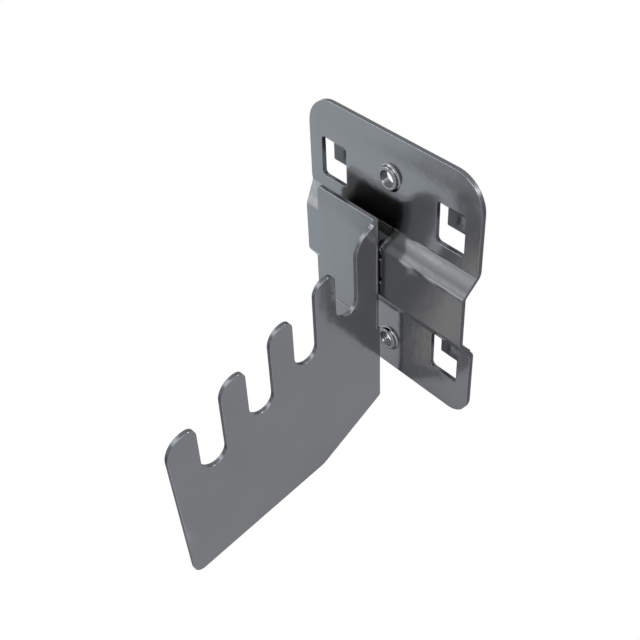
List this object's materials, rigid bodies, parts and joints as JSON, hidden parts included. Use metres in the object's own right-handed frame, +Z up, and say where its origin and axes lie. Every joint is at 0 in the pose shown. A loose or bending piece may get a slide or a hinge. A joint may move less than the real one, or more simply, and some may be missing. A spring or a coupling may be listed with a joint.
{
  "type": "pegboard hook with a slotted arm",
  "caption": "Pressed steel back plate with hook tabs for a square-hole tool panel, carrying a bent arm with a stepped row of open slots.",
  "frame": {"origin": "centre of the upper threaded hole, on the plane of the plate's back faces that lie against the panel", "axes": "+Z up, +Y out of the back of the plate into the panel, -Y towards the user along the arm, +X to the right seen from the front"},
  "size_m": [0.0554, 0.073, 0.0964],
  "materials": {
    "plated_steel": "smooth bright zinc plating on pressed steel sheet"
  },
  "bodies": {
    "root": {"back_plate": "plated_steel", "arm_bracket": "plated_steel"}
  },
  "joints": []
}
